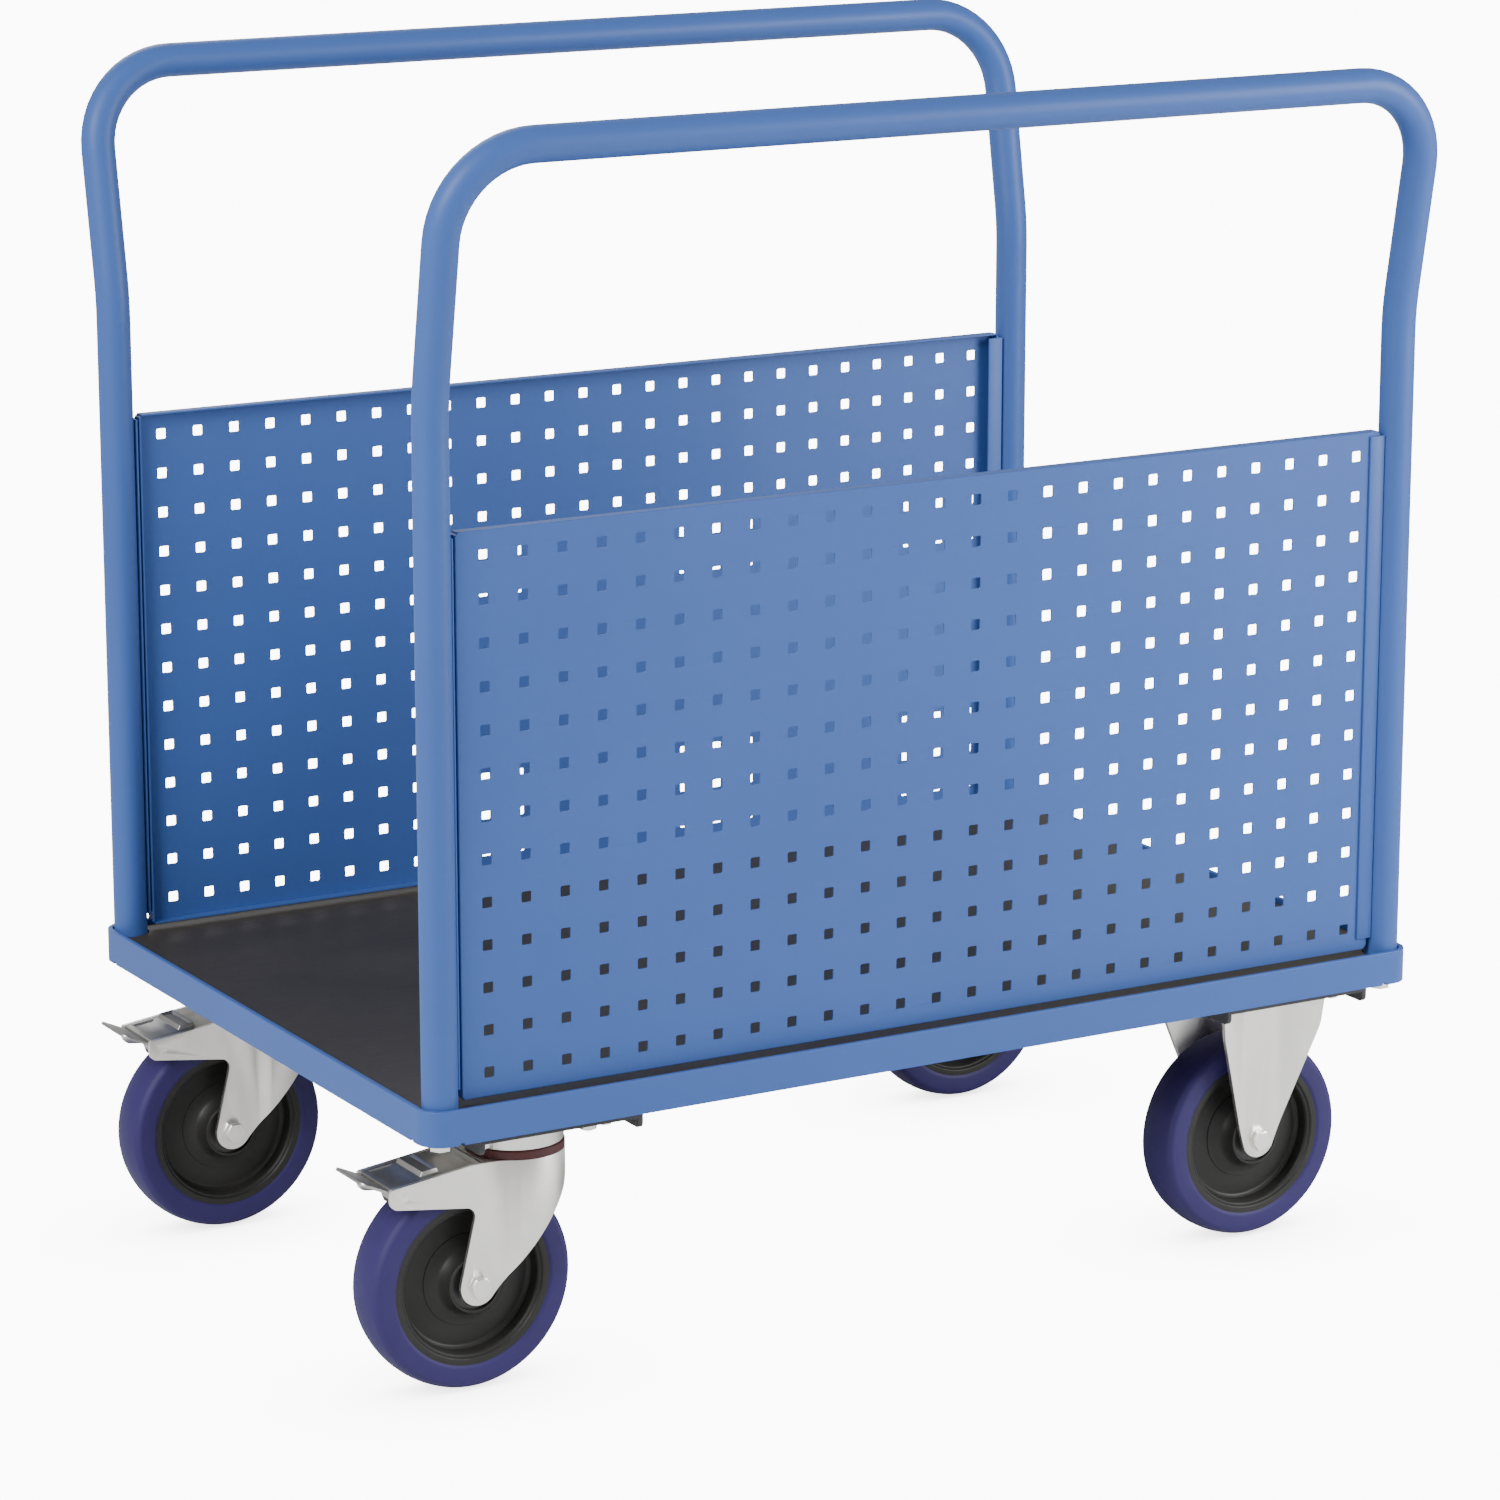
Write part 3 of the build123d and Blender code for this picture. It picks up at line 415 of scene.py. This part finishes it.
# %% Paints and films
blue_coat = finish(
    "blue powder coat", (0.044, 0.104, 0.33), (0.042, 0.099, 0.315), grain,
    roughness=0.45, spread=0.08, bump=0.3, mottle_scale=4, grain_scale=1400,
    Specular_IOR_Level=0.25)
dark_coat = finish(
    "anthracite paint", (0.03, 0.03, 0.033), (0.036, 0.036, 0.039), grain,
    roughness=0.42, spread=0.1, bump=0.3, mottle_scale=9, Specular_IOR_Level=0.35)
board_film = finish(
    "anthracite film", (0.031, 0.027, 0.022), (0.038, 0.033, 0.027), streaks,
    roughness=0.55, spread=0.14, bump=0.5, mottle_scale=7, stretch=(25, 380, 25),
    Specular_IOR_Level=0.3)

# %% Plated and bare metals
zinc = finish(
    "zinc plate", (0.9, 0.885, 0.84), (0.85, 0.835, 0.79), streaks,
    roughness=0.36, spread=0.12, bump=0.12, mottle_scale=35, stretch=(900, 900, 30),
    Metallic=1.0)
bolt_zinc = finish(
    "bright zinc", (0.92, 0.91, 0.88), (0.87, 0.86, 0.83), grain,
    roughness=0.3, spread=0.12, bump=0.15, mottle_scale=80, Metallic=1.0)
dark_zinc = finish(
    "dull zinc", (0.52, 0.51, 0.48), (0.43, 0.42, 0.4), streaks,
    roughness=0.4, spread=0.16, bump=0.15, mottle_scale=30, stretch=(30, 900, 900),
    Metallic=1.0)
bearing_steel = finish(
    "bearing steel", (0.6, 0.6, 0.6), (0.55, 0.55, 0.55), grain,
    roughness=0.22, spread=0.08, bump=0.08, Metallic=1.0)

# %% Rubbers and plastics
bearing_shield = finish(
    "bearing shield", (0.035, 0.035, 0.036), (0.045, 0.045, 0.045), grain,
    roughness=0.35, spread=0.08, bump=0.1)
indigo_rubber = finish(
    "indigo rubber", (0.022, 0.014, 0.098), (0.019, 0.012, 0.086), grain,
    roughness=0.6, spread=0.12, bump=0.35, mottle_scale=16, grain_scale=1100,
    Specular_IOR_Level=0.35)
black_polyamide = finish(
    "black polyamide", (0.014, 0.014, 0.013), (0.018, 0.018, 0.016), grain,
    roughness=0.46, spread=0.12, bump=0.4, mottle_scale=18, grain_scale=1300,
    Specular_IOR_Level=0.32)
seal_rubber = finish(
    "red seal rubber", (0.075, 0.014, 0.014), (0.06, 0.011, 0.011), grain,
    roughness=0.5, spread=0.1, bump=0.3, mottle_scale=30, Specular_IOR_Level=0.4)
black_rubber = finish(
    "black rubber", (0.015, 0.015, 0.015), (0.02, 0.02, 0.02), grain,
    roughness=0.6, spread=0.1, bump=0.4)

# %% Finishes on the nodes
FINISH_OF_SLOT = {
    "blue_powder_coat": blue_coat,
    "anthracite_steel": dark_coat,
    "anthracite_board": board_film,
    "zinc_plated_steel": zinc,
    "brake_steel": dark_zinc,
    "bearing_steel": bearing_steel,
    "indigo_tyre": indigo_rubber,
    "black_polyamide": black_polyamide,
    "seal_rubber": seal_rubber,
    "black_rubber": black_rubber,
}
SMALL_HARDWARE = ("bolt", "nut", "screw", "pin")
slot_of = {part["node"]: part["material_slot"] for part in frame["record"]["subparts"]}
for name, node in nodes.items():
    node.data.materials.clear()
    small = any(word in name for word in SMALL_HARDWARE)
    look = bolt_zinc if small else FINISH_OF_SLOT[slot_of[name]]
    node.data.materials.append(bearing_shield if "bearings" in name else look)
print(len(nodes), "nodes have a finish")

# %% [markdown]
# ## Pressed sheet with soft edges
#
# Pressed and punched sheet never has a knife edge: the press draws a small round, which is
# what catches the light along a fork or a pedal. The nodes have the right shape but sharp
# edges, and a node's own mesh stays untouched. So a copy is merged into whole faces, its
# flat facets are joined, and a narrow bevel rounds what is left.


# %% A whole-faced copy of a node, and a piece in a node's place
MERGE_REACH = 0.002 * MM
FACET_ANGLE = radians(0.6)
body_of = {
    node: body
    for body, members in frame["record"]["behaviour"]["bodies"].items() for node in members
}


def whole_copy(node, join_facets=True):
    """A copy of a node's mesh with its doubles merged and its flat facets joined."""
    copy = bpy.data.objects.new(f"soft_{node}", nodes[node].data.copy())
    bpy.context.scene.collection.objects.link(copy)
    open_mesh(copy)
    bpy.ops.mesh.select_all(action="SELECT")
    bpy.ops.mesh.remove_doubles(threshold=MERGE_REACH)
    if join_facets:
        bpy.ops.mesh.dissolve_limited(angle_limit=FACET_ANGLE)
    close_mesh()
    return copy


def stand_for(piece, node, material):
    """Put the piece in a node's place: what it replaces, what it rides on, its finish."""
    piece.data.materials.clear()
    piece.data.materials.append(material)
    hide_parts(node)
    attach(piece, body_of[node])


# %% Rounded edges on pressed and turned metal, in millimetres
SIDE_ROUNDS = {
    "swivel_fork": 0.8, "fixed_fork": 0.8, "top_plate": 0.7, "brake_pedal": 0.5,
    "axle_bolt": 0.5, "axle_nut": 0.5,
}
OTHER_ROUNDS = {
    "rear_cross_beam": 0.8, "front_cross_beam": 0.8, "hoop_foot_bolts": 0.5,
    "beam_bolts": 0.4, "castor_lock_nuts": 0.5, "fixed_axle_bolts": 0.5,
    "fixed_axle_nuts": 0.5, "near_panel_rails": 0.4, "far_panel_rails": 0.4,
}
edge_rounds = {
    f"{side}_{part}": width for side in SIDES for part, width in SIDE_ROUNDS.items()
}
edge_rounds.update(OTHER_ROUNDS)
for node, width in edge_rounds.items():
    copy = whole_copy(node)
    round_edges(copy, width)
    stand_for(copy, node, nodes[node].data.materials[0])
print("softened pieces:", len(edge_rounds))

# %% [markdown]
# ## Brake covers
#
# The cover over each foot brake is pressed from sheet, and its raised rib has a sunk field
# on top. Setting in the rib's top face and pushing the new face down gives the field and
# its narrow frame in one step, and the round afterwards makes it look pressed, not cut.

# %% Brake covers: the raised rib gets a sunk field inside a narrow frame
RIB_FRAME, RIB_SINK, RIB_TOP_BAND, RIB_ROUND = 2.6, 2.6, 1.5, 0.55
FACES_UP = 0.95
for side in SIDES:
    node = f"{side}_brake_cover"
    cover = whole_copy(node)
    low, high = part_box(node)
    open_mesh(cover)
    choose(cover, "faces", lambda m, f: (
        f.normal.z > FACES_UP and high[2] - m.z < RIB_TOP_BAND * MM))
    bpy.ops.mesh.inset(thickness=RIB_FRAME * MM, depth=-RIB_SINK * MM)
    bpy.ops.mesh.select_all(action="SELECT")
    bpy.ops.mesh.normals_make_consistent(inside=False)
    close_mesh()
    round_edges(cover, RIB_ROUND)
    stand_for(cover, node, dark_zinc)
    print(node, len(cover.data.polygons), "faces")

# %% [markdown]
# ## Side panels
#
# A perforated panel is punched flat, and its border is then folded inwards, so the outer
# edges are round while the holes keep crisp edges. An edge bevel on the border alone shows
# that difference. The faces stay flat shaded, because smoothing across a plate with
# hundreds of holes would draw creases that sheet metal doesn't have.

# %% Side panels: the folded outer edges are rounded, the punched holes stay crisp
FOLD_RADIUS, FOLD_SEGMENTS = 1.35, 5
BORDER_REACH = 0.05 * MM
for side, outwards in zip(SIDES, (-1, 1)):
    node = f"{side}_side_panel"
    panel = whole_copy(node, join_facets=False)
    low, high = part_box(node)
    face_y = low[1] if outwards < 0 else high[1]
    open_mesh(panel)
    choose(panel, "edges", lambda m, e: abs(m.y - face_y) < BORDER_REACH and (
        min(m.z - low[2], high[2] - m.z) < BORDER_REACH
        or min(m.x - low[0], high[0] - m.x) < BORDER_REACH))
    bpy.ops.mesh.bevel(offset=FOLD_RADIUS * MM, segments=FOLD_SEGMENTS, affect="EDGES")
    close_mesh()
    bpy.ops.object.shade_flat()
    stand_for(panel, node, blue_coat)
    print(node, len(panel.data.polygons), "faces")

# %% [markdown]
# ## Wheels
#
# A wheel is turned: its tyre and its rim are each one closed section swept round the axle.
# The section is traced point by point from the axle's middle plane outwards, its corners
# are rounded while it is still a wire, and then it is spun. The four wheels are the same,
# so one is made and the others are copies.


# %% Trace a section and spin it about the Y axis
TURN_STEPS, CORNER_SEGMENTS = 112, 3
TRACE_MERGE = 0.01 * MM
SAME_POINT = 0.01
TURNED_ANGLE = radians(32)


def turned(name, half_section, rounds):
    """A ring from (across, radius) points of one half; the other half mirrors it."""
    both = half_section + [(-across, radius) for across, radius in reversed(half_section)]
    bpy.ops.mesh.primitive_plane_add(size=2 * MM, location=(0, 0, 0))
    ring = name_new(name)
    open_mesh(ring)
    bpy.ops.mesh.select_all(action="SELECT")
    bpy.ops.mesh.merge(type="CENTER")
    across, radius = both[0]
    bpy.ops.transform.translate(value=(0, across * MM, radius * MM))
    for last, point in zip(both, both[1:] + both[:1]):
        step = (0, (point[0] - last[0]) * MM, (point[1] - last[1]) * MM)
        bpy.ops.mesh.extrude_region_move(TRANSFORM_OT_translate={"value": step})
    bpy.ops.mesh.select_all(action="SELECT")
    bpy.ops.mesh.remove_doubles(threshold=TRACE_MERGE)
    for corners, size in rounds:
        choose(ring, "verts", lambda v, p: any(
            abs(abs(v.y) / MM - c[0]) < SAME_POINT and abs(v.z / MM - c[1]) < SAME_POINT
            for c in corners))
        bpy.ops.mesh.bevel(offset=size * MM, segments=CORNER_SEGMENTS, affect="VERTICES")
    bpy.ops.mesh.select_all(action="SELECT")
    bpy.ops.mesh.spin(steps=TURN_STEPS, angle=2 * pi, center=(0, 0, 0), axis=(0, 1, 0))
    bpy.ops.mesh.select_all(action="SELECT")
    bpy.ops.mesh.remove_doubles(threshold=TRACE_MERGE)
    bpy.ops.mesh.normals_make_consistent(inside=False)
    close_mesh()
    bpy.ops.object.shade_smooth_by_angle(angle=TURNED_ANGLE)
    print(name, len(ring.data.polygons), "faces")
    return ring


# %% Tyre: a crowned tread, rounded shoulders and flat sides
TREAD_HALF, TREAD_DROP, CROWN_POINTS = 20.3, 2.8, 6
TYRE_HALF, WHEEL_RADIUS = 24.5, 100.0
RIM_RADIUS, RIM_HALF = 76.0, 23.0
crown = [
    (TREAD_HALF * k / CROWN_POINTS, WHEEL_RADIUS - TREAD_DROP * (k / CROWN_POINTS) ** 2)
    for k in range(1, CROWN_POINTS)
]
tread_edge = (TREAD_HALF, WHEEL_RADIUS - TREAD_DROP)
shoulder = (TYRE_HALF, 93.2)
side_foot = (TYRE_HALF, 78.5)
tyre_seat = (RIM_HALF, RIM_RADIUS)
tyre_master = turned(
    "tyre", crown + [tread_edge, shoulder, side_foot, tyre_seat],
    rounds=[([shoulder], 2.2), ([tread_edge], 1.6), ([side_foot], 1.0)],
)

# %% Rim: lip, groove beside the barrel, coned web with a ring, and the hub collar
lip_outer, lip_inner, lip_foot = tyre_seat, (RIM_HALF, 70.5), (21.0, 69.2)
groove_top, groove_foot, barrel_edge = (21.0, 67.6), (18.6, 66.0), (9.0, 65.0)
web_top, ring_outer, ring_inner = (6.0, 62.5), (8.7, 42.6), (9.8, 40.8)
web_foot, cone_foot = (14.2, 30.4), (19.5, 27.6)
collar_edge, collar_face, bearing_floor = (28.5, 26.0), (28.5, 23.6), (10.0, 23.6)
rim_section = [
    lip_outer, lip_inner, lip_foot, groove_top, groove_foot, barrel_edge, web_top,
    ring_outer, (9.6, 42.2), ring_inner, (10.2, 38.2), web_foot, cone_foot,
    (24.0, 26.0), collar_edge, collar_face, bearing_floor, (10.0, 20.05),
]
rim_master = turned(
    "rim", rim_section,
    rounds=[([lip_inner], 0.7), ([groove_top, groove_foot], 0.6), ([web_top], 1.6),
            ([web_foot], 2.0), ([collar_edge], 0.9)],
)

# %% Four wheels from one
WHEEL_MASTERS = {"tyre": (tyre_master, indigo_rubber), "rim": (rim_master, black_polyamide)}
wheel_nodes = [f"{side}_{end}_{part}" for side in SIDES for end in ENDS
               for part in WHEEL_MASTERS]
for node in wheel_nodes:
    master, material = WHEEL_MASTERS[node.rsplit("_", 1)[1]]
    low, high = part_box(node)
    wheel_part = bpy.data.objects.new(f"turned_{node}", master.data.copy())
    bpy.context.scene.collection.objects.link(wheel_part)
    wheel_part.location = (Vector(low) + Vector(high)) / 2
    settle(wheel_part)
    stand_for(wheel_part, node, material)
for master, _ in WHEEL_MASTERS.values():
    bpy.data.objects.remove(master)
print("wheel pieces:", len(wheel_nodes))
